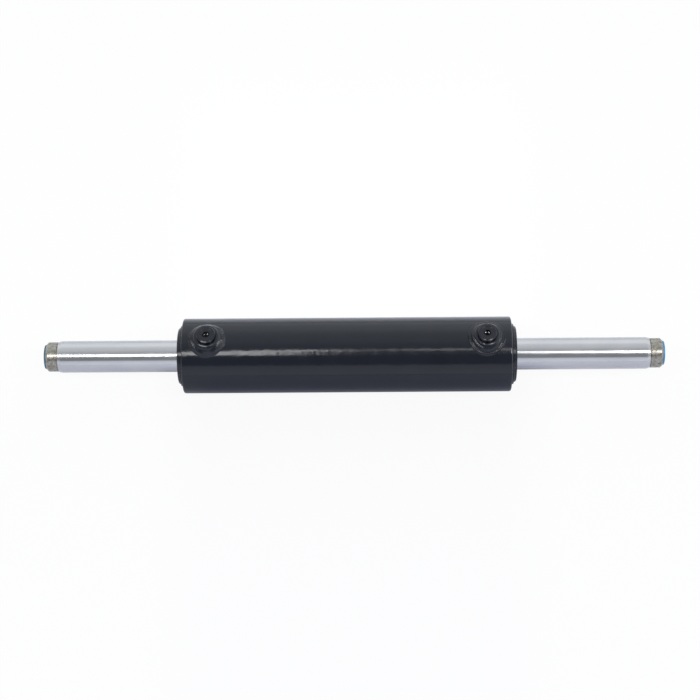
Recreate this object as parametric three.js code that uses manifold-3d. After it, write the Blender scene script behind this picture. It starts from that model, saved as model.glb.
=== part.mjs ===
// Double-rod hydraulic cylinder: a honed tube with a screwed-in gland at each end, one chromed
// through-rod carrying a sealed piston, two welded port bosses closed by hexagon-socket plugs,
// and push-in protectors in the threaded rod ends.
//
// Millimetres, +Z up. The cylinder lies along X on the plane z = 0 with its ports on top.
// The origin is under the middle of the rod.

import * as THREE from 'three';
import { mergeVertices } from 'three/addons/utils/BufferGeometryUtils.js';
import Module from 'manifold-3d';

const wasm = await Module();
wasm.setup();

// ---------------------------------------------------------------- driving dimensions

const BORE_SEGMENTS = 36; // sides of the tube and the rod
const RING_SEGMENTS = 24; // sides of everything that fits in or on them
const GAP = 0.3; // clearance between pieces that meet

const TUBE = { outer: 37.85, bore: 31.5, halfLength: 165.0, edge: 2.0, threadRadius: 32.5, threadDepth: 8.8 };
const STROKE_POSITION = 6.8; // how far the rod stands to the right of the tube's middle

const ROD = {
  radius: 16,
  halfLength: 310.8,
  endRadius: 14.9,
  endLength: 12.2,
  endChamfer: 2.0,
  leadRadius: 15.2,
  leadLength: 3.0,
  threadRadius: 9.4,
  threadDepth: 34,
  drillTip: 3,
  spotRadius: 12.4,
  spotDepth: 0.4,
};

const PISTON = { radius: 30.8, halfLength: 20, boreRadius: 16.3, edge: 1.0, recessRadius: 21.5, recessDepth: 4 };
const LOCK_RING = { inner: 14.9, outer: 20.2, width: 1.7, gapAngle: 0.5 };
const WEAR_RING = { outer: 31.2, thickness: 2.5, width: 9.7, offset: 12.4, gapAngle: 0.06 };
const PISTON_SEAL = { outer: 31.2, thickness: 1.9, width: 5.4 };
const ENERGIZER = { inner: 25.4, section: 3.4 };
const BORE_ORING = { inner: 16.2, section: 2.6 };

// Gland stations are distances from the tube's end face, positive outwards.
const GLAND = {
  boreRadius: 16.3,
  noseRadius: 28.3,
  noseFace: 5.0,
  noseChamfer: 0.8,
  stepRadius: 30.7,
  stepFace: 2.6,
  threadRadius: 32.2,
  sealLandRadius: 31.2,
  sealLandEnd: -16.0,
  spigotRadius: 27,
  spigotEnd: -42,
  spigotChamfer: 1.5,
  mouthRadius: 20.2,
};
const WIPER = { face: 3.8, width: 6.0, radius: 21.8, lipFace: 4.7 };
const ROD_SEAL = { face: -5.5, width: 9.0, radius: 21.3 };
const GUIDE_RING = { face: -19.5, width: 15.0, radius: 18.8, gapAngle: 0.08 };
const GLAND_ORING = { face: -10.4, section: 2.3, backup: 1.0, bottomRadius: 28.9 };
const SPANNER_HOLE = { count: 4, radius: 2.0, circle: 24.4, depth: 5.5 };

const PORT = {
  fromEnd: 25.5,
  bossRadius: 12.5,
  bossTop: 44.0,
  bossChamfer: 0.5,
  spotRadius: 9.8,
  spotDepth: 0.3,
  threadRadius: 7.25,
  seatRadius: 8.5,
  seatDepth: 2.4,
  weldToe: 18.8,
  weldHeight: 4.9,
  toeThickness: 0.6,
};
const PLUG = {
  collarRadius: 9.5,
  collarHeight: 3.8,
  edge: 0.5,
  shankRadius: 6.9,
  shankLength: 11.5,
  shankChamfer: 1.0,
  undercutRadius: 5.6,
  undercutLength: 2.5,
  hexAcross: 6,
  hexDepth: 6.5,
};
const PORT_ORING = { inner: 5.85, section: 1.7 };

const PROTECTOR = {
  flangeRadius: 12.2,
  flangeThickness: 2.0,
  edge: 0.9,
  shankRadius: 9.0,
  shankLength: 12,
  shankTaper: 0.6,
  cupRadius: 6.6,
  cupDepth: 10,
};

// ---------------------------------------------------------------- materials

const finish = (color, roughness, metalness) => new THREE.MeshStandardMaterial({ color, roughness, metalness });
const BLACK_PAINT = finish(0x1b1d20, 0.3, 0.0);
const CHROME = finish(0xc9ccd2, 0.18, 1.0);
const DUCTILE_IRON = finish(0x5a5a5c, 0.55, 1.0);
const SPRING_STEEL = finish(0x6e7073, 0.4, 1.0);
const NITRILE = finish(0x141414, 0.7, 0.0);
const POLYURETHANE = finish(0x2f6f8f, 0.5, 0.0);
const BRONZE_PTFE = finish(0x6b4a2c, 0.5, 0.2);
const GUIDE_RESIN = finish(0x7a2f24, 0.6, 0.0);
const WHITE_PTFE = finish(0xe4e2da, 0.5, 0.0);
const BLUE_PLASTIC = finish(0x2c7fb5, 0.45, 0.0);

// ---------------------------------------------------------------- solids

const halfStep = (segments) => Math.PI / segments;

// The corner radius that puts the flats of a polygon at the given radius.
const acrossFlats = (radius, segments) => radius / Math.cos(halfStep(segments));

// Turns [station, radius] pairs about the X axis, with a flat facing straight up and down.
function turned(profile, segments = RING_SEGMENTS) {
  const points = profile.map(([station, radius]) => new THREE.Vector2(radius, station));
  return new THREE.LatheGeometry(points, segments, halfStep(segments)).rotateZ(-Math.PI / 2);
}

// The same, about the Z axis.
function turnedUp(profile, segments = RING_SEGMENTS) {
  const points = profile.map(([station, radius]) => new THREE.Vector2(radius, station));
  return new THREE.LatheGeometry(points, segments, halfStep(segments)).rotateX(Math.PI / 2);
}

// A profile that closes on itself, for a ring. Its outside runs towards +X, as in every profile here.
const ring = (profile, segments) => turned([...profile, profile[0]], segments);

const rectangle = (start, width, inner, outer) => [
  [start, inner],
  [start, outer],
  [start + width, outer],
  [start + width, inner],
];

// An O-ring of six-sided section whose middle is at the given station.
function oring({ inner, section }) {
  const middle = inner + section / 2;
  const corner = (i) => {
    const angle = (i * Math.PI) / 3;
    return [(Math.sin(angle) * section) / 2, middle + (Math.cos(angle) * section) / 2];
  };
  return ring([0, 1, 2, 3, 4, 5].map(corner));
}

// A flat ring with a cut, as a snap ring or a guide strip has, from station 0 to its width.
function splitRing({ inner, outer, width, gapAngle }) {
  const start = Math.PI / 2 + gapAngle / 2;
  const end = Math.PI / 2 - gapAngle / 2 + 2 * Math.PI;
  const outline = new THREE.Shape();
  outline.absarc(0, 0, outer, start, end, false);
  outline.absarc(0, 0, inner, end, start, true);
  const options = { depth: width, bevelEnabled: false, curveSegments: RING_SEGMENTS };
  return new THREE.ExtrudeGeometry(outline, options).rotateY(Math.PI / 2);
}

function toSolid(geometry) {
  const bare = geometry.index ? geometry.toNonIndexed() : geometry.clone();
  bare.deleteAttribute('normal');
  bare.deleteAttribute('uv');
  const merged = mergeVertices(bare, 1e-4);
  const vertProperties = new Float32Array(merged.attributes.position.array);
  const triVerts = new Uint32Array(merged.index.array);
  return new wasm.Manifold(new wasm.Mesh({ numProp: 3, vertProperties, triVerts }));
}

function toGeometry(solid) {
  const { vertProperties, triVerts } = solid.getMesh();
  const geometry = new THREE.BufferGeometry();
  geometry.setAttribute('position', new THREE.BufferAttribute(vertProperties, 3));
  geometry.setIndex(new THREE.BufferAttribute(triVerts, 1));
  geometry.computeVertexNormals();
  return geometry;
}

function cut(geometry, tools) {
  const rest = tools.reduce((solid, tool) => solid.subtract(toSolid(tool)), toSolid(geometry));
  return toGeometry(rest);
}

// ---------------------------------------------------------------- barrel

function tubeGeometry() {
  const { halfLength, edge, bore, threadRadius, threadDepth } = TUBE;
  const outer = acrossFlats(TUBE.outer, BORE_SEGMENTS);
  const shoulder = halfLength - threadDepth;
  const rounding = edge * (1 - Math.SQRT1_2);
  const half = [
    [shoulder, bore],
    [shoulder, threadRadius],
    [halfLength - edge / 2, threadRadius],
    [halfLength, threadRadius + edge / 2],
    [halfLength, outer - edge],
    [halfLength - rounding, outer - rounding],
    [halfLength - edge, outer],
  ];
  const otherHalf = half.map(([station, radius]) => [-station, radius]).reverse();
  const portDrill = (side) => {
    const reach = 2 * TUBE.outer;
    const drill = new THREE.CylinderGeometry(PORT.threadRadius, PORT.threadRadius, reach, RING_SEGMENTS);
    return drill.rotateX(Math.PI / 2).translate(side * (halfLength - PORT.fromEnd), 0, reach / 2);
  };
  return cut(ring([...otherHalf, ...half].reverse(), BORE_SEGMENTS), [portDrill(-1), portDrill(1)]);
}

// The boss is turned square on, then everything below its shoulder sinks with the tube's curve.
function bossGeometry() {
  const { bossTop, bossRadius, bossChamfer, spotRadius, spotDepth, seatRadius, seatDepth } = PORT;
  const saddleRadius = acrossFlats(TUBE.outer, BORE_SEGMENTS) + GAP;
  const shoulder = saddleRadius + PORT.weldHeight;
  const seat = bossTop - spotDepth;
  const profile = [
    [saddleRadius, PORT.threadRadius],
    [saddleRadius, bossRadius],
    [saddleRadius, PORT.weldToe],
    [saddleRadius + PORT.toeThickness, PORT.weldToe],
    [saddleRadius + PORT.weldHeight / 3, (bossRadius + PORT.weldToe) / 2],
    [shoulder, bossRadius],
    [bossTop - bossChamfer, bossRadius],
    [bossTop, bossRadius - bossChamfer],
    [bossTop, spotRadius],
    [seat, spotRadius],
    [seat, seatRadius],
    [seat - seatDepth, PORT.threadRadius],
  ];
  const geometry = turnedUp([...profile, profile[0]]);
  const place = geometry.attributes.position;
  for (let i = 0; i < place.count; i += 1) {
    const height = place.getZ(i);
    const drop = saddleRadius - Math.sqrt(saddleRadius ** 2 - place.getY(i) ** 2);
    if (height < shoulder + GAP / 2) place.setZ(i, height - drop);
  }
  return geometry;
}

function glandGeometry() {
  const g = GLAND;
  const groove = (start, width, radius, land) => [
    [start, land],
    [start, radius],
    [start - width, radius],
    [start - width, land],
  ];
  const oringWidth = GLAND_ORING.section + GLAND_ORING.backup + 3 * GAP;
  const outside = [
    [g.noseFace, g.noseRadius - g.noseChamfer],
    [g.noseFace - g.noseChamfer, g.noseRadius],
    [g.stepFace, g.noseRadius],
    [g.stepFace, g.stepRadius],
    [-GAP, g.stepRadius],
    [-GAP, g.threadRadius],
    [GAP - TUBE.threadDepth, g.threadRadius],
    [GAP - TUBE.threadDepth, g.sealLandRadius],
    ...groove(GLAND_ORING.face, oringWidth, GLAND_ORING.bottomRadius, g.sealLandRadius),
    [g.sealLandEnd, g.sealLandRadius],
    [g.sealLandEnd, g.spigotRadius],
    [g.spigotEnd + g.spigotChamfer, g.spigotRadius],
    [g.spigotEnd, g.spigotRadius - g.spigotChamfer],
  ];
  const inside = [
    [g.noseFace, g.mouthRadius],
    [WIPER.face, g.mouthRadius],
    ...groove(WIPER.face, WIPER.width, WIPER.radius, g.boreRadius).slice(1),
    ...groove(ROD_SEAL.face, ROD_SEAL.width, ROD_SEAL.radius, g.boreRadius),
    ...groove(GUIDE_RING.face, GUIDE_RING.width, GUIDE_RING.radius, g.boreRadius),
    [g.spigotEnd, g.boreRadius],
  ];
  const holes = Array.from({ length: SPANNER_HOLE.count }, (_, i) => {
    const { radius, depth, circle, count } = SPANNER_HOLE;
    const drill = new THREE.CylinderGeometry(radius, radius, 2 * depth, RING_SEGMENTS / 2);
    const turn = ((i + 0.5) * 2 * Math.PI) / count;
    return drill.rotateZ(Math.PI / 2).translate(g.noseFace, 0, circle).rotateX(turn);
  });
  return cut(ring([...inside, ...outside.reverse()]), holes);
}

// A lip seal: a square-backed ring whose inward face is split into two lips.
function lipSealGeometry() {
  const { face, width, radius } = ROD_SEAL;
  const front = face - GAP;
  const back = face - width + GAP;
  const inner = GLAND.boreRadius;
  const outer = radius - GAP;
  const middle = (inner + outer) / 2;
  const notch = (front - back) / 2;
  return ring([
    [back, inner],
    [back, middle - 1],
    [back + notch, middle],
    [back, middle + 1],
    [back, outer],
    [front, outer],
    [front, inner],
  ]);
}

// A wiper: its body fills the groove, and a thin lip leans out along the rod.
function wiperGeometry() {
  const { face, width, radius, lipFace } = WIPER;
  const front = face - GAP;
  const back = face - width + GAP;
  const inner = GLAND.boreRadius;
  const lip = 1.2;
  return ring([
    [(front + back) / 2, inner + lip / 2],
    [back, inner + lip],
    [back, radius - GAP],
    [front, radius - GAP],
    [front, inner + 2 * lip],
    [lipFace, inner + lip],
    [lipFace, inner],
  ]);
}

function backupRingGeometry() {
  const start = GLAND_ORING.face - 2 * GAP - GLAND_ORING.section - GLAND_ORING.backup;
  return ring(rectangle(start, GLAND_ORING.backup, GLAND_ORING.bottomRadius + GAP, GLAND.sealLandRadius));
}

function guideRingGeometry() {
  const inner = GLAND.boreRadius;
  const outer = GUIDE_RING.radius - GAP;
  return splitRing({ inner, outer, width: GUIDE_RING.width - 2 * GAP, gapAngle: GUIDE_RING.gapAngle });
}

// ---------------------------------------------------------------- port plugs

function plugGeometry() {
  const { collarRadius, collarHeight, edge, shankRadius, shankLength, shankChamfer } = PLUG;
  const { undercutRadius, undercutLength } = PLUG;
  const profile = [
    [-shankLength, 0],
    [-shankLength, shankRadius - shankChamfer],
    [shankChamfer - shankLength, shankRadius],
    [-undercutLength, shankRadius],
    [-undercutLength, undercutRadius],
    [0, undercutRadius],
    [0, collarRadius],
    [collarHeight - edge, collarRadius],
    [collarHeight, collarRadius - edge],
    [collarHeight, 0],
  ];
  const hexRadius = PLUG.hexAcross / Math.sqrt(3);
  const key = new THREE.CylinderGeometry(hexRadius, hexRadius, 2 * PLUG.hexDepth, 6);
  return cut(turnedUp(profile), [key.rotateX(Math.PI / 2).translate(0, 0, collarHeight)]);
}

// ---------------------------------------------------------------- rod and piston

function rodGeometry() {
  const r = ROD;
  const end = r.halfLength;
  const step = end - r.endLength;
  const grooveInner = PISTON.halfLength - PISTON.recessDepth + GAP;
  const grooveOuter = grooveInner + LOCK_RING.width + 2 * GAP;
  const grooveRadius = LOCK_RING.inner - 2 * GAP;
  const half = [
    [grooveInner, r.radius],
    [grooveInner, grooveRadius],
    [grooveOuter, grooveRadius],
    [grooveOuter, r.radius],
    [step - r.leadLength, r.radius],
    [step, r.leadRadius],
    [step, r.endRadius],
    [end - r.endChamfer, r.endRadius],
    [end, r.endRadius - r.endChamfer],
    [end, r.spotRadius],
    [end - r.spotDepth, r.spotRadius],
    [end - r.spotDepth, r.threadRadius],
    [end - r.threadDepth, r.threadRadius],
    [end - r.threadDepth - r.drillTip, 0],
  ];
  const otherHalf = half.map(([station, radius]) => [-station, radius]).reverse();
  return turned([...otherHalf, ...half], BORE_SEGMENTS);
}

function pistonGeometry() {
  const p = PISTON;
  const groove = (middle, width, radius, land) => [
    [middle - width / 2, land],
    [middle - width / 2, radius],
    [middle + width / 2, radius],
    [middle + width / 2, land],
  ];
  const wear = (side) => {
    const width = WEAR_RING.width + 2 * GAP;
    return groove(side * WEAR_RING.offset, width, WEAR_RING.outer - WEAR_RING.thickness - GAP, p.radius);
  };
  const outside = [
    [-p.halfLength, p.radius - p.edge],
    [p.edge - p.halfLength, p.radius],
    ...wear(-1),
    ...groove(0, PISTON_SEAL.width + 2 * GAP, ENERGIZER.inner - GAP, p.radius),
    ...wear(1),
    [p.halfLength - p.edge, p.radius],
    [p.halfLength, p.radius - p.edge],
  ];
  const inside = [
    [-p.halfLength, p.recessRadius],
    [p.recessDepth - p.halfLength, p.recessRadius],
    [p.recessDepth - p.halfLength, p.boreRadius],
    ...groove(0, BORE_ORING.section + 4 * GAP, BORE_ORING.inner + BORE_ORING.section + GAP, p.boreRadius),
    [p.halfLength - p.recessDepth, p.boreRadius],
    [p.halfLength - p.recessDepth, p.recessRadius],
    [p.halfLength, p.recessRadius],
  ];
  return ring([...outside, ...inside.reverse()]);
}

// A push-in protector: a round-edged flange outside, a tapered hollow shank inside.
function protectorGeometry() {
  const { flangeRadius, flangeThickness, edge, shankRadius, shankLength, shankTaper, cupRadius, cupDepth } = PROTECTOR;
  const rounding = edge * (1 - Math.SQRT1_2);
  return turned([
    [-shankLength, 0],
    [-shankLength, shankRadius - shankTaper],
    [0, shankRadius],
    [0, flangeRadius],
    [flangeThickness - edge, flangeRadius],
    [flangeThickness - rounding, flangeRadius - rounding],
    [flangeThickness, flangeRadius - edge],
    [flangeThickness, cupRadius],
    [flangeThickness - cupDepth, cupRadius - shankTaper],
    [flangeThickness - cupDepth, 0],
  ]);
}

// ---------------------------------------------------------------- assembly

function mesh(name, geometry, material, x = 0, z = 0) {
  const piece = new THREE.Mesh(geometry, material);
  piece.name = name;
  piece.position.set(x, 0, z);
  return piece;
}

// What sits at one end of the tube, with the outside towards +X of the group.
function glandEnd(name) {
  const end = new THREE.Group();
  const oringStation = GLAND_ORING.face - GAP - GLAND_ORING.section / 2;
  const glandOring = { inner: GLAND_ORING.bottomRadius + GAP / 2, section: GLAND_ORING.section };
  end.add(
    mesh(`${name}_gland`, glandGeometry(), BLACK_PAINT),
    mesh(`${name}_rod_wiper`, wiperGeometry(), NITRILE),
    mesh(`${name}_rod_seal`, lipSealGeometry(), POLYURETHANE),
    mesh(`${name}_rod_guide_ring`, guideRingGeometry(), GUIDE_RESIN, GUIDE_RING.face - GUIDE_RING.width + GAP),
    mesh(`${name}_gland_oring`, oring(glandOring), NITRILE, oringStation),
    mesh(`${name}_gland_backup_ring`, backupRingGeometry(), WHITE_PTFE),
  );
  return end;
}

function port(name) {
  const group = new THREE.Group();
  const seat = PORT.bossTop - PORT.spotDepth;
  const ringHeight = seat - PORT_ORING.section / 2 - GAP;
  group.add(
    mesh(`${name}_port_boss`, bossGeometry(), BLACK_PAINT),
    mesh(`${name}_port_plug`, plugGeometry(), BLACK_PAINT, 0, seat + GAP),
    mesh(`${name}_port_plug_oring`, oring(PORT_ORING).rotateY(-Math.PI / 2), NITRILE, 0, ringHeight),
  );
  return group;
}

function barrelAssembly() {
  const barrel = new THREE.Group();
  barrel.add(mesh('barrel_tube', tubeGeometry(), BLACK_PAINT));
  for (const [name, side] of [['left', -1], ['right', 1]]) {
    const end = glandEnd(name);
    end.rotation.z = side < 0 ? Math.PI : 0;
    end.position.x = side * TUBE.halfLength;
    const fitting = port(name);
    fitting.position.x = side * (TUBE.halfLength - PORT.fromEnd);
    barrel.add(end, fitting);
  }
  return barrel;
}

function rodAssembly() {
  const assembly = new THREE.Group();
  const wearInner = WEAR_RING.outer - WEAR_RING.thickness;
  const sealInner = PISTON_SEAL.outer - PISTON_SEAL.thickness;
  const sealSection = rectangle(-PISTON_SEAL.width / 2, PISTON_SEAL.width, sealInner, PISTON_SEAL.outer);
  assembly.add(
    mesh('rod', rodGeometry(), CHROME),
    mesh('piston', pistonGeometry(), DUCTILE_IRON),
    mesh('piston_seal', ring(sealSection), BRONZE_PTFE),
    mesh('piston_seal_energizer', oring(ENERGIZER), NITRILE),
    mesh('piston_bore_oring', oring(BORE_ORING), NITRILE),
  );
  for (const [name, side] of [['left', -1], ['right', 1]]) {
    const half = new THREE.Group();
    half.rotation.z = side < 0 ? Math.PI : 0;
    const lockStation = PISTON.halfLength - PISTON.recessDepth + 2 * GAP;
    const wearStation = WEAR_RING.offset - WEAR_RING.width / 2;
    const protectorStation = ROD.halfLength - ROD.spotDepth + GAP;
    half.add(
      mesh(`${name}_piston_lock_ring`, splitRing(LOCK_RING), SPRING_STEEL, lockStation),
      mesh(`${name}_piston_wear_ring`, splitRing({ ...WEAR_RING, inner: wearInner }), GUIDE_RESIN, wearStation),
      mesh(`${name}_rod_end_protector`, protectorGeometry(), BLUE_PLASTIC, protectorStation),
    );
    assembly.add(half);
  }
  return assembly;
}

const cylinder = new THREE.Group();
const barrel = barrelAssembly();
barrel.position.x = -STROKE_POSITION;
cylinder.add(barrel, rodAssembly());
cylinder.position.z = TUBE.outer;

export default cylinder;
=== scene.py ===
"""The looks of a double-rod hydraulic cylinder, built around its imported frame.

Each piece is turned, threaded and cut here in fine detail and stands for the CAD node of its name.
Pieces are drawn in millimetres about +X and then set in place on their body, in metres."""

import math
from collections import namedtuple

import bmesh
import bpy
from mathutils import Matrix, Vector, noise


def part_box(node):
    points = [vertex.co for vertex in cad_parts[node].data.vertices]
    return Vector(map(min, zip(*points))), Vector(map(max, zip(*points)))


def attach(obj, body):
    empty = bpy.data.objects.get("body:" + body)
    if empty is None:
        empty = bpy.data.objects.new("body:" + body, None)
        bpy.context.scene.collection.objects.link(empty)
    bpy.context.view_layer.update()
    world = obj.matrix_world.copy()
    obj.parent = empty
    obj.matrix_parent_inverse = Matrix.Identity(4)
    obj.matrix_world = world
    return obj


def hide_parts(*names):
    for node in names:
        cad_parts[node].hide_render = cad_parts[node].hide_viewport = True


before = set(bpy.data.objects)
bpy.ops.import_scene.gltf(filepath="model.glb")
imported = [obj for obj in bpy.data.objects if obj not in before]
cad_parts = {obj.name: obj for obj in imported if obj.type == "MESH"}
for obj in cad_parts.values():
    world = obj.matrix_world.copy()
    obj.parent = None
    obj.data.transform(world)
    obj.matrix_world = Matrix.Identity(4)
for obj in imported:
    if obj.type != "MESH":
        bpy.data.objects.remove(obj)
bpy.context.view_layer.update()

MM = 0.001
TURN = 2 * math.pi

# ---------------------------------------------------------------- sizes, in millimetres

# The boxes and places that come from the frame are in metres.
tube_low, tube_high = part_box("barrel_tube")
rod_low, rod_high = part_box("rod")
boss_low, boss_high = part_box("left_port_boss")
AXIS = Vector((0, 0, (tube_low.z + tube_high.z) / 2))
BARREL_PLACE = Matrix.Translation(((tube_low.x + tube_high.x) / 2, 0, AXIS.z))
ROD_PLACE = Matrix.Translation(((rod_low.x + rod_high.x) / 2, 0, AXIS.z))
TO_LEFT = Matrix.Rotation(math.pi, 4, "Z")
UPWARDS = Matrix.Rotation(-math.pi / 2, 4, "Y")

TUBE_RADIUS = (tube_high.z - tube_low.z) / 2 / MM
TUBE_END = (tube_high.x - tube_low.x) / 2 / MM
TUBE_BORE = 31.5
TUBE_EDGE = 2.0
PITCH = 1.5
GLAND_THREAD = 31.7
GLAND_THREAD_DEPTH = 8.8
GLAND_THREAD_HEIGHT = 0.75

ROD_RADIUS = 16.0
ROD_END = (rod_high.x - rod_low.x) / 2 / MM
PILOT_RADIUS = 14.9
LEFT_PILOT_LENGTH = 12.2
RIGHT_PILOT_LENGTH = 13.2
RELIEF_RADIUS = 14.3
END_CHAMFER = 2.0
END_BORE = 9.2
END_BORE_DEPTH = 34.0
END_BORE_THREAD_HEIGHT = 0.8
FLANGE_SEAT_RADIUS = 12.4
FLANGE_SEAT_DEPTH = 0.4
FLANGE_RADIUS = 12.2
FLANGE_HEIGHT = 2.0
LOCK_GROOVE_START = 16.3
LOCK_GROOVE_RADIUS = 14.3

NOSE_FACE = 5.0
NOSE_RADIUS = 28.3
STEP_FACE = 2.6
STEP_RADIUS = 30.7
GLAND_DEPTH = 42
GLAND_SKIRT = 27
GLAND_BORE = 16.3
GLAND_LAND = 31.2
GLAND_ORING_FLOOR = 28.9
GLAND_ORING_WIDTH = 4.2
WIPER_GROOVE_RADIUS = 21.8
MOUTH_RADIUS = 20.2
SEAL_GROOVE_RADIUS = 21.3
GUIDE_GROOVE_RADIUS = 18.8
SPANNER_HOLES = 4
SPANNER_HOLE_RADIUS = 2.0
SPANNER_HOLE_DEPTH = 5.5
SPANNER_CIRCLE = 24.4

BOSS_RADIUS = 12.5
BOSS_TOP = (boss_high.z - AXIS.z) / MM
BOSS_SPOT_FACE = 9.8
# How far each port's axis is from the middle of the tube.
PORT_STATION = (boss_high.x + boss_low.x) / -2 / MM + BARREL_PLACE.translation.x / MM
PORT_SPOT = 0.3
PORT_THREAD = 6.25
PORT_THREAD_HEIGHT = 0.75
THREAD_PLAY = 0.2

PLUG_SEAT = BOSS_TOP
PLUG_LENGTH = 11.5
COLLAR_RADIUS = 9.5
COLLAR_HEIGHT = 3.8
KEY_WIDTH = 6
KEY_DEPTH = 5.7
PILOT_DRILL = 3.12
PILOT_FLARE = 3.64

PISTON_HALF = 20.0
PISTON_RADIUS = 30.8
PISTON_BORE = 16.3
PISTON_RECESS_RADIUS = 21.5
PISTON_RECESS_DEPTH = 4
RUBBING_RADIUS = 31.35
WEAR_OFFSET = 12.4
WEAR_WIDTH = 9.7
WEAR_GROOVE_RADIUS = 28.4

# ---------------------------------------------------------------- turning and cutting

Thread = namedtuple("Thread", "height pitch")

THREAD_SHAPE = ((0.0, 0), (0.19, 0), (0.5, 1), (0.69, 1))  # share of the pitch, share of the height
THREAD_RUN_OUT = 0.7
ARC_STEPS = 4
CORNER_SHARE = 0.42
GUARD = 0.05
STRAIGHT = math.radians(176)
SHARP = math.radians(34)
MERGE = 0.002
FINE, MEDIUM, COARSE = 192, 128, 96
ORING_SIDES = 20


def eased_corner(spot, before, after, corner):
    """The arc that takes a corner's place, with a guard spot beyond each end that keeps the flats flat."""
    reach = min(corner / math.tan(before.angle(after) / 2), CORNER_SHARE * min(before.length, after.length))
    start = spot + before.normalized() * reach
    end = spot + after.normalized() * reach
    arc = []
    if reach + GUARD < before.length / 2:
        arc.append(start + before.normalized() * GUARD)
    for step in range(ARC_STEPS + 1):
        share = step / ARC_STEPS
        arc.append(start.lerp(spot, share).lerp(spot.lerp(end, share), share))
    if reach + GUARD < after.length / 2:
        arc.append(end + after.normalized() * GUARD)
    return arc


def outline(items, corner, closed):
    """[spot, thread] pairs along a profile with eased corners. A thread covers the span after its spot."""
    spots, corners, threads = [], [], {}
    for item in items:
        if isinstance(item, Thread):
            threads[len(spots) - 1] = item
        else:
            spots.append(Vector(item[:2]))
            corners.append(item[2] if len(item) > 2 else corner)
    for i in threads:
        corners[i] = corners[(i + 1) % len(spots)] = 0
    path = []
    for i, spot in enumerate(spots):
        before = spots[i - 1] - spot
        after = spots[(i + 1) % len(spots)] - spot
        loose = not closed and i in (0, len(spots) - 1)
        if loose or not corners[i] or before.angle(after) > STRAIGHT:
            path.append((spot, threads.get(i)))
        else:
            path += [(arc_spot, None) for arc_spot in eased_corner(spot, before, after, corners[i])]
    return path


def thread_band(bm, first, last, thread, segments):
    """A helical band between two spots of one radius. Its height fades out towards both ends."""
    low, high = sorted((first.x, last.x))
    turns = range(math.floor(low / thread.pitch) - 1, math.ceil(high / thread.pitch) + 2)
    rows = [(turn + share, lift) for turn in turns for share, lift in THREAD_SHAPE]
    fade = thread.pitch * THREAD_RUN_OUT
    columns = []
    for i in range(segments):
        angle = TURN * i / segments
        column = []
        for turn, lift in rows:
            station = min(max(thread.pitch * (turn + i / segments), low), high)
            fullness = min(1, (station - low) / fade, (high - station) / fade)
            radius = first.y + lift * fullness * thread.height
            column.append(bm.verts.new((station, radius * math.cos(angle), radius * math.sin(angle))))
        columns.append(column)
    for i, here in enumerate(columns):
        there = columns[(i + 1) % segments]
        shift = len(THREAD_SHAPE) if i == segments - 1 else 0
        for k in range(len(rows) - 1 - shift):
            bm.faces.new((here[k], here[k + 1], there[k + 1 + shift], there[k + shift]))


def turned(name, items, segments, corner=0.2, closed=True, gap=0.0):
    """A solid turned about +X from (station, radius) items. With a gap, in radians, it is a split ring."""
    bm = bmesh.new()
    path = outline(items, corner, closed)
    columns = segments + 1 if gap else segments
    angles = [gap / 2 + (TURN - gap) * i / segments for i in range(columns)]
    rings = []
    for spot, _ in path:
        if spot.y < MERGE:
            rings.append([bm.verts.new((spot.x, 0, 0))] * columns)
        else:
            places = [(spot.x, spot.y * math.cos(angle), spot.y * math.sin(angle)) for angle in angles]
            rings.append([bm.verts.new(place) for place in places])
    for k in range(len(path) if closed else len(path) - 1):
        after = (k + 1) % len(path)
        if path[k][1]:
            thread_band(bm, path[k][0], path[after][0], path[k][1], segments)
            continue
        for i in range(segments):
            j = (i + 1) % columns
            corners = dict.fromkeys((rings[k][i], rings[k][j], rings[after][j], rings[after][i]))
            if len(corners) > 2:
                bm.faces.new(list(corners))
    if gap:
        bm.faces.new([ring[0] for ring in rings])
        bm.faces.new([ring[-1] for ring in rings])
    return solid(name, bm)


def solid(name, bm):
    """A linked object made from a bmesh, which is used up."""
    bmesh.ops.remove_doubles(bm, verts=bm.verts, dist=MERGE)
    bmesh.ops.recalc_face_normals(bm, faces=bm.faces)
    mesh = bpy.data.meshes.new(name)
    bm.to_mesh(mesh)
    bm.free()
    piece = bpy.data.objects.new(name, mesh)
    bpy.context.collection.objects.link(piece)
    return piece


def carved(piece, cutters):
    """The piece with the cutters' shapes taken out of it."""
    for cutter in cutters:
        cut = piece.modifiers.new("cut", "BOOLEAN")
        cut.operation = "DIFFERENCE"
        cut.solver = "EXACT"
        cut.object = cutter
    view = bpy.context.evaluated_depsgraph_get()
    mesh = bpy.data.meshes.new_from_object(piece.evaluated_get(view), depsgraph=view)
    piece.modifiers.clear()
    piece.data = mesh
    for cutter in cutters:
        bpy.data.objects.remove(cutter)
    return piece


def settle(piece, place, body, finishes, cad_node, rule=None):
    """Dresses a piece, sets it in place in metres and lets it ride on its body in its node's stead.

    The rule takes the middle of a face and says which of the finishes it has, by number."""
    mesh = piece.data
    mesh.materials.clear()
    for finish in finishes:
        mesh.materials.append(finish)
    bm = bmesh.new()
    bm.from_mesh(mesh)
    for face in bm.faces:
        face.smooth = True
        face.material_index = rule(face.calc_center_median()) if rule else 0
    for edge in bm.edges:
        edge.smooth = edge.is_manifold and edge.calc_face_angle(math.pi) < SHARP
    bm.to_mesh(mesh)
    bm.free()
    mesh.transform(place @ Matrix.Scale(MM, 4))
    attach(piece, body)
    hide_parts(cad_node)


def groove(start, width, floor, land):
    """Four corners of a groove, in the order in which its start comes first."""
    return [(start, land), (start, floor), (start + width, floor), (start + width, land)]


def rectangle(start, width, inner, outer):
    """The section of a plain ring."""
    return [(start, inner), (start, outer), (start + width, outer), (start + width, inner)]


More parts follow.
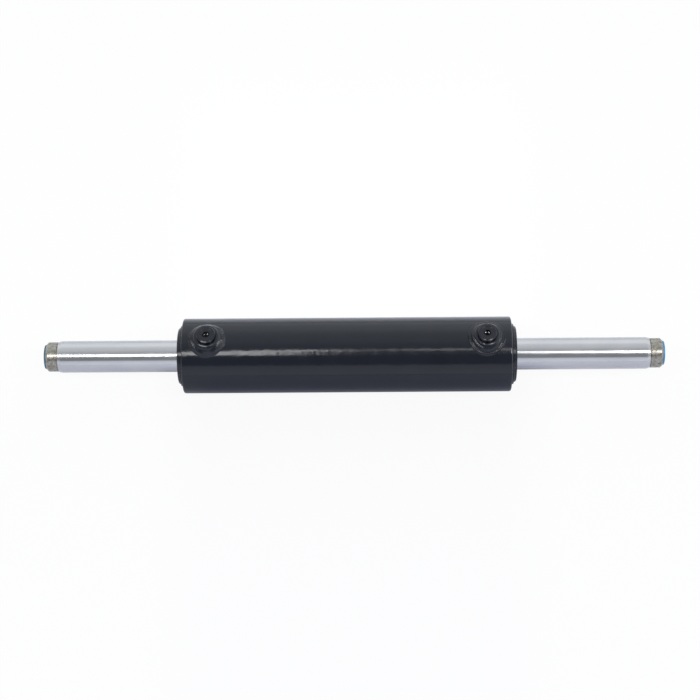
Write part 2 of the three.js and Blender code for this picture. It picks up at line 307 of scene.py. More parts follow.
def torus(name, middle, section, station=0.0, segments=MEDIUM):
    """An O-ring: its middle radius and its section's diameter."""
    spots = []
    for i in range(ORING_SIDES):
        angle = TURN * i / ORING_SIDES
        spots.append((station + math.cos(angle) * section / 2, middle + math.sin(angle) * section / 2))
    return turned(name, spots, segments, corner=0)


def off_axis(spot):
    """A spot's distance from the axis that its piece is turned about."""
    return math.hypot(spot.y, spot.z)


# ---------------------------------------------------------------- finishes

NOISE_LOW = 0.3
NOISE_HIGH = 0.7
ROUGHNESS_TO_TONE = 2.7


def node(tree, kind, settings=None, **inputs):
    """A shader node. An input's value is another node's output, which is linked, or a plain value.

    An input is named by its label, with _ for a space, or by its number after a _."""
    made = tree.nodes.new(kind)
    for key, value in (settings or {}).items():
        setattr(made, key, value)
    for key, value in inputs.items():
        socket = made.inputs[int(key[1:])] if key[0] == "_" else made.inputs[key.replace("_", " ")]
        if isinstance(value, bpy.types.NodeSocket):
            tree.links.new(value, socket)
        else:
            socket.default_value = value
    return made


def ramp(tree, factor, stops):
    """A colour ramp with (position, colour) stops."""
    made = node(tree, "ShaderNodeValToRGB", Fac=factor)
    elements = made.color_ramp.elements
    elements[0].position, elements[1].position = stops[0][0], stops[-1][0]
    for position, _ in stops[1:-1]:
        elements.new(position)
    for element, (_, colour) in zip(elements, stops):
        element.color = (*colour, 1)
    return made.outputs["Color"]


def grain(tree, frequency, detail):
    """Noise in the piece's own place, with a frequency along X, Y and Z in waves per metre."""
    place = node(tree, "ShaderNodeTexCoord").outputs["Object"]
    scaled = node(tree, "ShaderNodeMapping", Vector=place, Scale=frequency).outputs["Vector"]
    return node(tree, "ShaderNodeTexNoise", Vector=scaled, Scale=1.0, Detail=detail).outputs["Fac"]


def surface(name, stops, tone, roughness, relief, **constants):
    """A finish: colour and roughness wander with noise, and relief has (frequency, depth, detail) layers."""
    material = bpy.data.materials.new(name)
    material.use_nodes = True
    tree = material.node_tree
    tree.nodes.clear()
    wander = grain(tree, tone, 5.0)
    smoothness = grain(tree, Vector(tone) * ROUGHNESS_TO_TONE, 4.0)
    rough = node(tree, "ShaderNodeMapRange", Value=smoothness, From_Min=NOISE_LOW, From_Max=NOISE_HIGH,
                 To_Min=roughness[0], To_Max=roughness[1])
    shader = node(tree, "ShaderNodeBsdfPrincipled", Base_Color=ramp(tree, wander, stops),
                  Roughness=rough.outputs["Result"], **constants)
    normal = None
    for frequency, depth, detail in relief:
        height = grain(tree, frequency, detail)
        bump = node(tree, "ShaderNodeBump", Height=height, Strength=1.0, Distance=depth)
        if normal:
            tree.links.new(normal, bump.inputs["Normal"])
        normal = bump.outputs["Normal"]
    tree.links.new(normal, shader.inputs["Normal"])
    output = node(tree, "ShaderNodeOutputMaterial")
    tree.links.new(shader.outputs["BSDF"], output.inputs["Surface"])
    return material


def even(frequency):
    """One frequency along X, Y and Z."""
    return (frequency, frequency, frequency)


def two_tone(dark, light):
    """Stops that spread two colours over the middle of the noise."""
    return [(0.32, dark), (0.68, light)]


black_paint = surface(
    "black_paint", two_tone((0.0024, 0.004, 0.0088), (0.004, 0.006, 0.0122)), even(30), (0.1, 0.17),
    [(even(105), 0.00016, 2.0), (even(260), 0.00003, 2.0)], IOR=1.48)
chrome = surface(
    "hard_chrome", two_tone((0.545, 0.55, 0.577), (0.595, 0.595, 0.611)), (28, 60, 60), (0.13, 0.19),
    [((3000, 40, 40), 0.0000022, 2.0), ((400, 30, 30), 0.000003, 2.0)], Metallic=1.0)
turned_steel = surface(
    "turned_steel", [(0.3, (0.2, 0.175, 0.14)), (0.48, (0.33, 0.31, 0.27)), (0.7, (0.42, 0.41, 0.385))],
    even(340), (0.24, 0.36), [((2600, 90, 90), 0.000005, 2.0), (even(900), 0.000005, 3.0)], Metallic=1.0)
honed_steel = surface(
    "honed_steel", two_tone((0.42, 0.42, 0.41), (0.55, 0.55, 0.54)), even(60), (0.16, 0.24),
    [((1500, 900, 900), 0.000004, 3.0)], Metallic=1.0)
cast_iron = surface(
    "ductile_iron", two_tone((0.2, 0.2, 0.205), (0.31, 0.31, 0.315)), even(180), (0.38, 0.52),
    [((2200, 70, 70), 0.00001, 2.0), (even(1100), 0.000008, 3.0)], Metallic=1.0)
spring_steel = surface(
    "spring_steel", two_tone((0.11, 0.11, 0.115), (0.2, 0.2, 0.205)), even(260), (0.34, 0.46),
    [(even(1400), 0.000008, 3.0)], Metallic=1.0)
nitrile = surface(
    "nitrile", two_tone((0.014, 0.014, 0.014), (0.026, 0.026, 0.027)), even(220), (0.52, 0.66),
    [(even(1300), 0.000012, 3.0)])
polyurethane = surface(
    "polyurethane", two_tone((0.04, 0.16, 0.26), (0.06, 0.23, 0.36)), even(140), (0.36, 0.46),
    [(even(800), 0.00001, 2.0)])
bronze_ptfe = surface(
    "bronze_ptfe", [(0.3, (0.15, 0.085, 0.04)), (0.55, (0.23, 0.13, 0.06)), (0.75, (0.36, 0.23, 0.12))],
    even(900), (0.4, 0.52), [((1800, 120, 120), 0.000012, 2.0)])
guide_resin = surface(
    "guide_resin", two_tone((0.2, 0.045, 0.03), (0.36, 0.09, 0.06)), even(700), (0.5, 0.62),
    [((1100, 1100, 1100), 0.00002, 1.0)])
white_ptfe = surface(
    "white_ptfe", two_tone((0.74, 0.73, 0.69), (0.83, 0.82, 0.79)), even(120), (0.38, 0.48),
    [((1500, 90, 90), 0.000008, 2.0)])
blue_plastic = surface(
    "blue_plastic", two_tone((0.018, 0.19, 0.4), (0.035, 0.27, 0.52)), even(160), (0.34, 0.46),
    [(even(700), 0.000012, 3.0)])
# The left cap's blue plastic: a darker, greyer copy of blue_plastic that paints in the shade the left cap
# stands in.
painted_shade_blue_plastic = surface(
    "painted_shade_blue_plastic", two_tone((0.05, 0.09, 0.13), (0.035, 0.15, 0.25)), even(160), (0.42, 0.56),
    [(even(700), 0.00002, 3.0)])

# ---------------------------------------------------------------- barrel tube


def barrel_tube():
    """The tube, with a thread in each mouth and a drilling under each port."""
    shoulder = TUBE_END - GLAND_THREAD_DEPTH
    thread = Thread(GLAND_THREAD_HEIGHT, PITCH)
    mouth = GLAND_THREAD + GLAND_THREAD_HEIGHT
    items = [
        (-TUBE_END, TUBE_RADIUS, TUBE_EDGE),
        (TUBE_END, TUBE_RADIUS, TUBE_EDGE),
        (TUBE_END, mouth + 0.3),
        (TUBE_END - 1, GLAND_THREAD),
        thread,
        (shoulder, GLAND_THREAD),
        (shoulder - 0.5, TUBE_BORE),
        (0.5 - shoulder, TUBE_BORE),
        (-shoulder, GLAND_THREAD),
        thread,
        (1 - TUBE_END, GLAND_THREAD),
        (-TUBE_END, mouth + 0.3),
    ]
    tube = turned("barrel_tube_finished", items, FINE)
    drill_top = TUBE_RADIUS + 2
    drill_items = [(0, 0), (0, PORT_THREAD), (drill_top, PORT_THREAD), (drill_top, 0)]
    drills = []
    for side in (-1, 1):
        drill = turned("drill", drill_items, COARSE, corner=0, closed=False)
        drill.data.transform(Matrix.Translation((side * PORT_STATION, 0, 0)) @ UPWARDS)
        drills.append(drill)

    def outside_is_painted(spot):
        return 0 if off_axis(spot) > mouth + 0.4 else 1

    settle(carved(tube, drills), BARREL_PLACE, "barrel", [black_paint, honed_steel],
           "barrel_tube", outside_is_painted)


# ---------------------------------------------------------------- what each end of the tube holds


def gland_items():
    """The gland's profile: its stepped nose, thread and O-ring groove, and the grooves in its bore."""
    at = TUBE_END
    oring_groove = groove(at - 10.4 - GLAND_ORING_WIDTH, GLAND_ORING_WIDTH, GLAND_ORING_FLOOR, GLAND_LAND)
    outside = [
        (at + NOSE_FACE, MOUTH_RADIUS),
        (at + NOSE_FACE, NOSE_RADIUS - 0.8, 0.25),
        (at + NOSE_FACE - 0.8, NOSE_RADIUS, 0.25),
        (at + STEP_FACE, NOSE_RADIUS, 0.35),
        (at + STEP_FACE, STEP_RADIUS, 0.7),
        (at + 0.1, STEP_RADIUS),
        (at - 0.5, GLAND_THREAD - THREAD_PLAY),
        Thread(GLAND_THREAD_HEIGHT, PITCH),
        (at - GLAND_THREAD_DEPTH + 0.5, GLAND_THREAD - THREAD_PLAY),
        (at - GLAND_THREAD_DEPTH, GLAND_LAND),
        *reversed(oring_groove),
        (at - 16, GLAND_LAND, 0.5),
        (at - 16.6, GLAND_SKIRT, 0.6),
        (at - GLAND_DEPTH, GLAND_SKIRT, 1.5),
    ]
    inside = [
        (at - GLAND_DEPTH, GLAND_BORE, 0.4),
        *groove(at - 34.5, 15, GUIDE_GROOVE_RADIUS, GLAND_BORE),
        *groove(at - 14.5, 9, SEAL_GROOVE_RADIUS, GLAND_BORE),
        (at - 2.2, GLAND_BORE),
        (at - 2.2, WIPER_GROOVE_RADIUS),
        (at + 3.8, WIPER_GROOVE_RADIUS),
        (at + 3.8, MOUTH_RADIUS),
    ]
    return outside + inside


def spanner_drills():
    """Cutters for the blind holes that a pin spanner turns the gland by."""
    top = TUBE_END + NOSE_FACE
    bottom = top - SPANNER_HOLE_DEPTH
    items = [
        (bottom - 1.1, 0),
        (bottom, SPANNER_HOLE_RADIUS),
        (top - 0.35, SPANNER_HOLE_RADIUS),
        (top + 0.2, SPANNER_HOLE_RADIUS + 0.55),
        (top + 2, SPANNER_HOLE_RADIUS + 0.55),
        (top + 2, 0),
    ]
    drills = []
    for i in range(SPANNER_HOLES):
        drill = turned("drill", items, 32, corner=0, closed=False)
        turn = Matrix.Rotation(TURN * (i + 0.5) / SPANNER_HOLES, 4, "X")
        drill.data.transform(turn @ Matrix.Translation((0, 0, SPANNER_CIRCLE)))
        drills.append(drill)
    return drills


def wiper_items():
    """The wiper's section: one lip leans out along the rod, and a smaller one rests on it inside."""
    at = TUBE_END
    return [
        (at - 1.9, 17.5),
        (at - 1.9, 21.5),
        (at + 3.5, 21.5),
        (at + 3.5, 19.2),
        (at + 2.4, 18.2),
        (at + 4.8, 16.7),
        (at + 4.7, 16.15),
        (at + 2.6, 16.7),
        (at + 0.8, 17.3),
        (at - 0.3, 16.25),
    ]


def rod_seal_items():
    """The rod seal's section: two lips with a hollow between them that faces the oil."""
    front, back = TUBE_END - 5.8, TUBE_END - 14.2
    return [
        (back, 16.15),
        (back + 1.4, 16.35),
        (back + 5, 18.2),
        (back + 5.6, 18.65),
        (back + 5, 19.1),
        (back + 1.4, 20.6),
        (back, 21.0),
        (front, 21.0),
        (front, 16.3),
        (back + 4.4, 16.5),
    ]


def end_of_tube(name, place):
    """The gland at one end of the tube, with its seals."""
    gland = carved(turned(f"{name}_gland_finished", gland_items(), FINE), spanner_drills())

    def nose_is_painted(spot):
        return 0 if spot.x > TUBE_END - 0.1 and off_axis(spot) > MOUTH_RADIUS - 0.1 else 1

    settle(gland, place, "barrel", [black_paint, cast_iron], f"{name}_gland", nose_is_painted)
    rings = [
        ("rod_wiper", wiper_items(), "nitrile", nitrile, 0.0),
        ("rod_seal", rod_seal_items(), "polyurethane", polyurethane, 0.0),
        ("rod_guide_ring", rectangle(TUBE_END - 34.2, 14.4, 16.12, 18.6), "guide_resin", guide_resin, 0.08),
        ("gland_backup_ring", rectangle(TUBE_END - 14.3, 1.0, 29.0, 31.2), "white_ptfe", white_ptfe, 0.0),
    ]
    for kind, items, slot, finish, gap in rings:
        ring = turned(f"{name}_{kind}_finished", items, MEDIUM, corner=0.18, gap=gap)
        settle(ring, place, "barrel", [finish], f"{name}_{kind}")
    oring = torus(f"{name}_gland_oring_finished", 30.2, 2.3, TUBE_END - 11.9)
    settle(oring, place, "barrel", [nitrile], f"{name}_gland_oring")


# ---------------------------------------------------------------- ports

WELD_TOE = 19.3
WELD_TOE_WANDER = 0.7
WELD_HEIGHT = 4.9
WELD_RIPPLES = 46
WELD_RIPPLE_CURVE = 2.2
WELD_PASS_LAG = 1.7
WELD_CROWN = 0.9
WELD_RIPPLE = 0.1
WELD_UNEVENNESS = 0.5
WELD_SINK = 0.15
WELD_OVERLAP = 0.05
WELD_HOLLOW = 0.55


def sunk(height, y):
    """A height over the tube's crown line, lowered to what it is over the tube at that y."""
    return height - TUBE_RADIUS + math.sqrt(TUBE_RADIUS ** 2 - y ** 2)


def port_boss(name):
    """The boss, with its foot cut to the round of the tube."""
    seat = BOSS_TOP - PORT_SPOT
    shoulder = TUBE_RADIUS + WELD_HEIGHT
    foot = TUBE_RADIUS - 0.1
    items = [
        (foot, BOSS_RADIUS, 0),
        (shoulder, BOSS_RADIUS, 0),
        (BOSS_TOP - 0.95, BOSS_RADIUS, 0.35),
        (BOSS_TOP - 0.36, BOSS_RADIUS - 0.45, 0.15),
        (BOSS_TOP, BOSS_RADIUS - 1.3, 0.15),
        (BOSS_TOP, BOSS_SPOT_FACE),
        (seat, BOSS_SPOT_FACE),
        (seat, 8.5, 0.1),
        (seat - 2.0, PORT_THREAD, 0),
        Thread(PORT_THREAD_HEIGHT, PITCH),
        (foot + 1.2, PORT_THREAD, 0),
        (foot, PORT_THREAD, 0),
    ]
    boss = turned(f"{name}_port_boss_finished", items, MEDIUM)
    for vertex in boss.data.vertices:
        if vertex.co.x < foot + 1:
            vertex.co.x = sunk(vertex.co.x, vertex.co.y)
    return boss


def weld_height(share, angle, passes, seed):
    """How far the bead stands off the straight line from its toe to the boss."""
    along = share * passes
    inside = along - math.floor(along)
    lag = WELD_RIPPLE_CURVE * (inside - 0.5) ** 2 + WELD_PASS_LAG * math.floor(along)
    ripple = math.sin(WELD_RIPPLES * angle + TURN * lag)
    unevenness = noise.noise(Vector((math.cos(angle) * 2.5, math.sin(angle) * 2.5, seed + 3 * share)))
    crown = WELD_CROWN + WELD_RIPPLE * ripple + WELD_UNEVENNESS * unevenness
    return math.sin(math.pi * inside) ** 2 * crown


def weld_bead(name, passes, seed):
    """A fillet weld around the boss, laid in one or more passes on the round of the tube."""
    columns, steps = 368, 26
    bm = bmesh.new()
    grid = []
    for i in range(columns):
        angle = TURN * i / columns
        wander = noise.noise(Vector((math.cos(angle) * 2, math.sin(angle) * 2, seed)))
        toe = WELD_TOE + WELD_TOE_WANDER * wander
        run, rise = toe - BOSS_RADIUS, WELD_HEIGHT + WELD_SINK
        slant = math.hypot(run, rise)
        column = []
        for k in range(steps + 1):
            share = k / steps
            stand = weld_height(share, angle, passes, seed)
            radius = toe - run * share + stand * rise / slant - WELD_OVERLAP * share
            climb = share + WELD_HOLLOW * (share * share - share)
            height = TUBE_RADIUS - WELD_SINK + rise * climb + stand * run / slant
            y = radius * math.cos(angle)
            column.append(bm.verts.new((sunk(height, y), y, radius * math.sin(angle))))
        root = BOSS_RADIUS - WELD_OVERLAP
        y = root * math.cos(angle)
        column.append(bm.verts.new((sunk(TUBE_RADIUS - WELD_SINK, y), y, root * math.sin(angle))))
        grid.append(column)
    for i, here in enumerate(grid):
        there = grid[(i + 1) % columns]
        for k in range(len(here)):
            after = (k + 1) % len(here)
            bm.faces.new((here[k], here[after], there[after], there[k]))
    return solid(f"{name}_port_weld", bm)


def plug_items():
    """The plug's profile, from the middle of its foot to the middle of its collar."""
    foot = PLUG_SEAT - PLUG_LENGTH
    top = PLUG_SEAT + COLLAR_HEIGHT
    return [
        (foot, 0),
        (foot, 5.3, 0.3),
        (foot + 0.9, PORT_THREAD - THREAD_PLAY, 0),
        Thread(PORT_THREAD_HEIGHT, PITCH),
        (PLUG_SEAT - 2.6, PORT_THREAD - THREAD_PLAY, 0),
        (PLUG_SEAT - 2.3, 5.6),
        (PLUG_SEAT, 5.6),
        (PLUG_SEAT, COLLAR_RADIUS, 0.4),
        (top - 0.9, COLLAR_RADIUS, 0.25),
        (top - 0.37, COLLAR_RADIUS - 0.3, 0.12),
        (top, COLLAR_RADIUS - 1.15, 0.12),
        (top, 6.6, 0.1),
        (top - 0.12, 6.4, 0.1),
        (top - 0.12, 0),
    ]


def socket_plug(name, turn):
    """A plug with a collar. The pilot drilled for its hexagon leaves small bare ledges in the corners.

    The turn, in degrees, is how far the hexagon stands turned."""
    body = turned(f"{name}_port_plug_finished", plug_items(), COARSE, closed=False)
    top = PLUG_SEAT + COLLAR_HEIGHT
    floor = top - KEY_DEPTH
    key_corner = KEY_WIDTH / math.sqrt(3)
    key_items = [(floor, 0), (floor, key_corner), (top + 1, key_corner), (top + 1, 0)]
    key = turned("key", key_items, 6, corner=0, closed=False)
    key.data.transform(Matrix.Rotation(math.pi / 6 + math.radians(turn), 4, "X"))
    pilot_items = [
        (floor - 2.0, 0),
        (floor - 2.0, PILOT_DRILL),
        (floor - 0.2, PILOT_DRILL),
        (floor + 0.03, PILOT_FLARE),
        (floor + 0.03, 0),
    ]
    pilot = turned("pilot", pilot_items, COARSE, corner=0, closed=False)
    mouth_items = [(top - 0.9, 0), (top - 0.9, 2.95), (top, 3.75), (top, 0)]
    mouth = turned("mouth", mouth_items, COARSE, corner=0, closed=False)
    return carved(body, [key, pilot, mouth])


def boss_is_painted(spot):
    return 0 if off_axis(spot) > 8.6 else 1


def plug_is_painted(spot):
    return 0 if spot.x > PLUG_SEAT + 0.01 or off_axis(spot) < PILOT_DRILL + 0.02 else 1


def port(name, side, passes, plug_turn, seed):
    """A boss welded to the tube, with its plug and the O-ring under the plug's collar."""
    place = BARREL_PLACE @ Matrix.Translation((side * PORT_STATION * MM, 0, 0)) @ UPWARDS
    settle(port_boss(name), place, "barrel", [black_paint, turned_steel],
           f"{name}_port_boss", boss_is_painted)
    settle(weld_bead(name, passes, seed), place, "barrel", [black_paint], f"{name}_port_boss")
    settle(socket_plug(name, plug_turn), place, f"{name}_plug", [black_paint, honed_steel],
           f"{name}_port_plug", plug_is_painted)
    oring = torus(f"{name}_port_plug_oring_finished", 6.7, 1.7, BOSS_TOP - PORT_SPOT - 1.15, COARSE)
    settle(oring, place, f"{name}_plug_oring", [nitrile], f"{name}_port_plug_oring")


# ---------------------------------------------------------------- rod


def rod_half(pilot_length):
    """One half of the rod's profile, from its lock-ring groove to the bottom of its end bore."""
    end = ROD_END
    step = end - pilot_length
    face = end - FLANGE_SEAT_DEPTH
    return [
        *groove(LOCK_GROOVE_START, 2.3, LOCK_GROOVE_RADIUS, ROD_RADIUS),
        (step - 3.0, ROD_RADIUS, 0.4),
        (step, 15.2, 0.2),
        (step, RELIEF_RADIUS, 0.1),
        (step + 0.9, RELIEF_RADIUS, 0.15),
        (step + 1.2, PILOT_RADIUS, 0.15),
        (end - END_CHAMFER, PILOT_RADIUS, 0.4),
        (end, PILOT_RADIUS - END_CHAMFER, 0.25),
        (end, FLANGE_SEAT_RADIUS, 0.1),
        (face, FLANGE_SEAT_RADIUS, 0.1),
        (face, 10.2, 0.1),
        (face - 1.0, END_BORE, 0),
        Thread(END_BORE_THREAD_HEIGHT, PITCH),
        (end - END_BORE_DEPTH, END_BORE, 0),
        (end - END_BORE_DEPTH - 3, 0),
    ]


def mirrored(items):
    """The same profile on the other side of station 0, run the other way."""
    return [item if isinstance(item, Thread) else (-item[0], *item[1:]) for item in reversed(items)]


def chromed_rod():
    """The rod, chromed between its turned-down ends and bare from there on."""
    profile = mirrored(rod_half(LEFT_PILOT_LENGTH)) + rod_half(RIGHT_PILOT_LENGTH)
    rod = turned("rod_finished", profile, FINE, corner=0.15, closed=False)
    bare_to = LEFT_PILOT_LENGTH + 0.02 - ROD_END
    bare_from = ROD_END - RIGHT_PILOT_LENGTH - 0.02

    def middle_is_plated(spot):
        return 0 if bare_to < spot.x < bare_from and off_axis(spot) > PILOT_RADIUS - 0.1 else 1

    settle(rod, ROD_PLACE, "rod", [chrome, turned_steel], "rod", middle_is_plated)


def end_protector(name, place, finish):
    """A plastic cup with two ribs on its shank and a flange that covers the rod's end."""
    seat = ROD_END - 0.1
    face = seat + FLANGE_HEIGHT
    rib = [(-2.6, 8.95), (-2.9, 9.1), (-3.2, 9.1), (-3.5, 8.88)]
    items = [
        (seat - 12, 0),
        (seat - 12, 8.3, 0.8),
        *[(seat + offset - 4, radius - 0.1) for offset, radius in reversed(rib)],
        *[(seat + offset, radius) for offset, radius in reversed(rib)],
        (seat, 8.98, 0.2),
        (seat, FLANGE_RADIUS, 0.3),
        (face, FLANGE_RADIUS, 0.9),
        (face, 8.3, 0.25),
        (face - 0.35, 8.0, 0.15),
        (face - 0.35, 7.3, 0.15),
        (face, 7.0, 0.2),
        (face, 6.6, 0.2),
        (face - 10, 6.0, 0.5),
        (face - 10, 1.2, 0.1),
        (face - 9.8, 0.9, 0.1),
        (face - 9.8, 0),
    ]
    cap = turned(f"{name}_rod_end_protector_finished", items, MEDIUM, corner=0.1, closed=False)
    settle(cap, place, f"{name}_protector", [finish], f"{name}_rod_end_protector")


# ---------------------------------------------------------------- piston


def piston_items():
    """The piston's profile: three grooves outside, one in the bore and a recess for each lock ring."""
    wear_groove = WEAR_WIDTH + 0.6
    left_start = -WEAR_OFFSET - wear_groove / 2
    right_start = WEAR_OFFSET - wear_groove / 2
    recess_floor = PISTON_HALF - PISTON_RECESS_DEPTH
    outside = [
        (-PISTON_HALF, PISTON_RADIUS, 1.0),
        *groove(left_start, wear_groove, WEAR_GROOVE_RADIUS, PISTON_RADIUS),
        *groove(-3.0, 6.0, 25.1, PISTON_RADIUS),
        *groove(right_start, wear_groove, WEAR_GROOVE_RADIUS, PISTON_RADIUS),
        (PISTON_HALF, PISTON_RADIUS, 1.0),
    ]
    inside = [
        (PISTON_HALF, PISTON_RECESS_RADIUS, 0.4),
        (recess_floor, PISTON_RECESS_RADIUS),
        (recess_floor, PISTON_BORE),
        *reversed(groove(-1.9, 3.8, 19.1, PISTON_BORE)),
        (-recess_floor, PISTON_BORE),
        (-recess_floor, PISTON_RECESS_RADIUS),
        (-PISTON_HALF, PISTON_RECESS_RADIUS, 0.4),
    ]
    return outside + inside


def piston_assembly():
    """The piston with its slide ring, the energizer under that and the O-ring in its bore."""
    piston = turned("piston_finished", piston_items(), FINE)
    settle(piston, ROD_PLACE, "piston", [cast_iron], "piston")
    slide_ring = turned("piston_seal_finished", rectangle(-2.7, 5.4, 29.3, RUBBING_RADIUS), FINE, corner=0.3)
    settle(slide_ring, ROD_PLACE, "piston", [bronze_ptfe], "piston_seal")
    energizer = torus("piston_seal_energizer_finished", 27.1, 3.4)
    settle(energizer, ROD_PLACE, "piston", [nitrile], "piston_seal_energizer")
    bore_oring = torus("piston_bore_oring_finished", 17.5, 2.6)
    settle(bore_oring, ROD_PLACE, "piston", [nitrile], "piston_bore_oring")


def end_of_rod(name, place, protector_finish):
    """The pieces that the rod and piston have one of on each side."""
    strip = rectangle(WEAR_OFFSET - WEAR_WIDTH / 2, WEAR_WIDTH, 28.7, RUBBING_RADIUS)
    wear = turned(f"{name}_piston_wear_ring_finished", strip, FINE, corner=0.3, gap=0.06)
    settle(wear, place, "piston", [guide_resin], f"{name}_piston_wear_ring")
    snap_ring = rectangle(LOCK_GROOVE_START + 0.3, 1.7, 14.9, 20.2)
    lock = turned(f"{name}_piston_lock_ring_finished", snap_ring, MEDIUM, gap=0.5)
    settle(lock, place, "rod", [spring_steel], f"{name}_piston_lock_ring")
    end_protector(name, place, protector_finish)


barrel_tube()
chromed_rod()
piston_assembly()
end_of_tube("left", BARREL_PLACE @ TO_LEFT)
end_of_tube("right", BARREL_PLACE)
# The left cap takes the blue plastic painted darker and greyer, as painted shade.
end_of_rod("left", ROD_PLACE @ TO_LEFT, painted_shade_blue_plastic)
end_of_rod("right", ROD_PLACE, blue_plastic)
port("left", -1, passes=1, plug_turn=3, seed=0.0)
port("right", 1, passes=2, plug_turn=0, seed=10.0)

# ---------------------------------------------------------------- studio

FLOOR_RADIUS = 14.0
FLOOR_GLOW = 0.93

# Painted shade and painted light in the floor's colour near the object, as stops of (share of the way,
# factors on the floor's colour): a painted shadow, darkest under the barrel's middle line and darker in
# front of it, and lighter behind it. The way goes from FLOOR_REACH in front of the object's middle line
# to FLOOR_REACH behind it. One set of stops holds along the barrel and the other beside it, from
# BESIDE_FROM to BESIDE_TO in X.
FLOOR_REACH = 0.4
PAINTED_SHADE_AND_LIGHT_ALONG_BARREL = [
    (0.0, (0.8, 0.8, 0.94)),
    (0.26, (0.74, 0.74, 0.86)),
    (0.375, (0.64, 0.64, 0.75)),
    (0.425, (0.52, 0.52, 0.62)),
    (0.5, (0.5, 0.5, 0.6)),
    (0.575, (1.24, 1.24, 1.3)),
    (0.85, (1.26, 1.26, 1.3)),
    (1.0, (1.0, 1.0, 1.0)),
]
PAINTED_SHADE_BESIDE_BARREL = [
    (0.0, (0.9, 0.9, 0.97)),
    (0.44, (0.86, 0.86, 0.91)),
    (0.56, (1.0, 1.0, 1.0)),
]
BESIDE_FROM = 0.15
BESIDE_TO = 0.21

# The room's brightness by degrees, from the horizon in front, overhead, to the horizon behind.
SKY = [
    (0.0, 0.95),
    (12.0, 0.93),
    (29.5, 0.82),
    (34.0, 0.31),
    (61.5, 0.29),
    (64.5, 0.38),
    (90.5, 0.53),
    (98.0, 0.65),
    (106.0, 0.76),
    (122.0, 0.83),
    (134.0, 0.93),
    (144.0, 1.1),
    (152.0, 1.14),
    (164.0, 1.06),
    (180.0, 1.1),
]
SKY_STRENGTH = 2.0
FRONT_TINT = (0.95, 0.99, 1.07)
BACK_TINT = (0.96, 1.0, 1.025)
BACK_FROM = 60

# The walls at the sides, each with its direction along X and its brightness, and where they begin.
SIDES = [(-1.0, 0.7), (1.0, 1.4)]
SIDE_FROM = 0.56
SIDE_TO = 0.82

LAMP_DISTANCE = 2.2
CAMERA_ELEVATION = math.radians(63.0)
CAMERA_YAW = math.radians(0.727)
CAMERA_ROLL = math.radians(-0.4)
CAMERA_DISTANCE = 1.82
CAMERA_LENS = 92.45
AIM_OFFSET = Vector((0.002855, 0.00499, 0))


def floor():
    """A wide pale floor on which the object lies."""
    bm = bmesh.new()
    bmesh.ops.create_circle(bm, cap_ends=True, segments=COARSE, radius=FLOOR_RADIUS)
    plane = solid("studio_floor", bm)
    pale = surface(
        "pale_floor", two_tone((0.72, 0.73, 0.76), (0.74, 0.75, 0.78)), even(3), (0.7, 0.8),
        [(even(40), 0.0002, 2.0)])
    # Painted shade and painted light in the floor's colour near the object.
    shade(pale)
    glow(pale, FLOOR_GLOW)
    plane.data.materials.append(pale)
    if plane.data.polygons[0].normal.z < 0:
        plane.data.flip_normals()


def shade(material):
    """Paints shade and light into the floor's colour near the object, whose lower sides reflect it: a
    painted shadow, darker in front of its middle line, and lighter behind it.
    """
    tree = material.node_tree
    base = next(each for each in tree.nodes if each.type == "BSDF_PRINCIPLED").inputs["Base Color"]
    place = node(tree, "ShaderNodeTexCoord").outputs["Object"]
    axes = node(tree, "ShaderNodeSeparateXYZ", Vector=place).outputs
    depth = node(tree, "ShaderNodeMapRange", Value=axes["Y"],
                 From_Min=-FLOOR_REACH, From_Max=FLOOR_REACH).outputs[0]
    aside = node(tree, "ShaderNodeMath", {"operation": "ABSOLUTE"}, _0=axes["X"]).outputs[0]
    blend = node(tree, "ShaderNodeMapRange", Value=aside,
                 From_Min=BESIDE_FROM, From_Max=BESIDE_TO).outputs[0]
    beside = ramp(tree, depth, PAINTED_SHADE_BESIDE_BARREL)
    along = ramp(tree, depth, PAINTED_SHADE_AND_LIGHT_ALONG_BARREL)
    mixed = node(tree, "ShaderNodeMix", {"data_type": "RGBA"}, _0=blend, _6=along, _7=beside).outputs[2]
    plain = base.links[0].from_socket
    # The floor's own colour times the painted shade and light.
    shaded = node(tree, "ShaderNodeVectorMath", {"operation": "MULTIPLY"}, _0=plain, _1=mixed).outputs[0]
    tree.links.new(shaded, base)


def glow(material, share):
    """Lets the eye, and not the reflections, see a share of plain white in a material."""
    tree = material.node_tree
    finish = tree.get_output_node("ALL").inputs["Surface"]
    white = node(tree, "ShaderNodeEmission", Color=(1, 1, 1, 1), Strength=1.0).outputs[0]
    seen = node(tree, "ShaderNodeLightPath").outputs["Is Camera Ray"]
    factor = node(tree, "ShaderNodeMath", {"operation": "MULTIPLY"}, _0=seen, _1=share).outputs[0]
    mixed = node(tree, "ShaderNodeMixShader", _0=factor, _1=finish.links[0].from_socket, _2=white).outputs[0]
    tree.links.new(mixed, finish)


def softbox(name, elevation, width, left, right, brightness):
    """A lamp between two stations in X. Its elevation, in degrees, is measured up from the front."""
    length = right - left
    lamp = bpy.data.lights.new(name, "AREA")
    lamp.shape = "RECTANGLE"
    lamp.size = length
    lamp.size_y = width
    lamp.energy = math.pi * length * width * brightness
    lamp_object = bpy.data.objects.new(name, lamp)
    bpy.context.collection.objects.link(lamp_object)
    lean = Matrix.Rotation(math.pi / 2 - math.radians(elevation), 4, "X")
    away = Matrix.Translation(((left + right) / 2, 0, LAMP_DISTANCE))
    lamp_object.matrix_world = BARREL_PLACE @ lean @ away


def sky_colour(degrees, level):
    """A stop's colour, with the strength taken out that the background puts back."""
    tint = FRONT_TINT if degrees < BACK_FROM else BACK_TINT
    return [level * share / SKY_STRENGTH for share in tint]


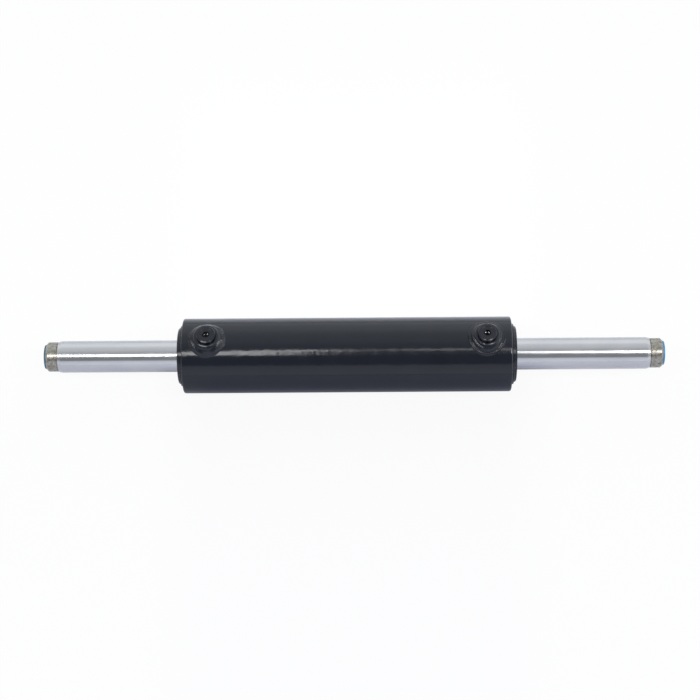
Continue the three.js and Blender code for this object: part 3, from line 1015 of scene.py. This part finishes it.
def room():
    """Soft light from all round: pale walls, with a darker stretch above the front one."""
    world = bpy.data.worlds.new("studio")
    bpy.context.scene.world = world
    world.use_nodes = True
    tree = world.node_tree
    tree.nodes.clear()
    place = node(tree, "ShaderNodeTexCoord").outputs["Generated"]
    axes = node(tree, "ShaderNodeSeparateXYZ", Vector=place).outputs
    front = node(tree, "ShaderNodeMath", {"operation": "MULTIPLY"}, _0=axes["Y"], _1=-1.0).outputs[0]
    angle = node(tree, "ShaderNodeMath", {"operation": "ARCTAN2"}, _0=axes["Z"], _1=front).outputs[0]
    share = node(tree, "ShaderNodeMath", {"operation": "DIVIDE"}, _0=angle, _1=math.pi).outputs[0]
    stops = [(degrees / 180, sky_colour(degrees, level)) for degrees, level in SKY]
    shades = ramp(tree, share, stops)
    mixed = node(tree, "ShaderNodeBackground", Color=shades, Strength=SKY_STRENGTH).outputs[0]
    for side, brightness in SIDES:
        sideways = node(tree, "ShaderNodeMath", {"operation": "MULTIPLY"}, _0=axes["X"], _1=side).outputs[0]
        blend = node(tree, "ShaderNodeMapRange", {"interpolation_type": "SMOOTHSTEP"}, Value=sideways,
                     From_Min=SIDE_FROM, From_Max=SIDE_TO).outputs[0]
        wall = node(tree, "ShaderNodeBackground", Color=(*BACK_TINT, 1), Strength=brightness).outputs[0]
        mixed = node(tree, "ShaderNodeMixShader", _0=blend, _1=mixed, _2=wall).outputs[0]
    node(tree, "ShaderNodeOutputWorld", Surface=mixed)


def camera():
    """The photograph's camera, turned about the barrel's middle and drawn back."""
    lens = bpy.data.cameras.new("camera")
    lens.lens = CAMERA_LENS
    lens.sensor_width = 36.0
    lens.clip_start = 0.01
    lens.clip_end = 100.0
    camera_object = bpy.data.objects.new("camera", lens)
    bpy.context.collection.objects.link(camera_object)
    turn = (
        Matrix.Rotation(math.pi / 2 - CAMERA_ELEVATION, 4, "X")
        @ Matrix.Rotation(CAMERA_YAW, 4, "Y")
        @ Matrix.Rotation(CAMERA_ROLL, 4, "Z")
    )
    back = Matrix.Translation(AIM_OFFSET + Vector((0, 0, CAMERA_DISTANCE)))
    camera_object.matrix_world = BARREL_PLACE @ turn @ back
    bpy.context.scene.camera = camera_object


floor()
room()
softbox("left_softbox_far", elevation=72.3, width=0.46, left=-2.6, right=-0.73, brightness=7.2)
softbox("left_softbox_end", elevation=70.0, width=0.31, left=-0.73, right=-0.41, brightness=7.2)
softbox("left_softbox", elevation=70.3, width=0.44, left=-0.41, right=-0.28, brightness=7.2)
softbox("left_softbox_step", elevation=71.0, width=0.56, left=-0.28, right=-0.16, brightness=7.2)
softbox("left_softbox_corner", elevation=76.7, width=0.22, left=-0.16, right=-0.07, brightness=7.2)
softbox("strip", elevation=77.2, width=0.2, left=0.07, right=0.345, brightness=2.6)
softbox("right_softbox", elevation=72.9, width=0.52, left=0.36, right=0.62, brightness=1.7)
softbox("right_softbox_end", elevation=71.9, width=0.5, left=0.62, right=2.6, brightness=7.5)
camera()
bpy.context.scene.view_settings.view_transform = "Standard"
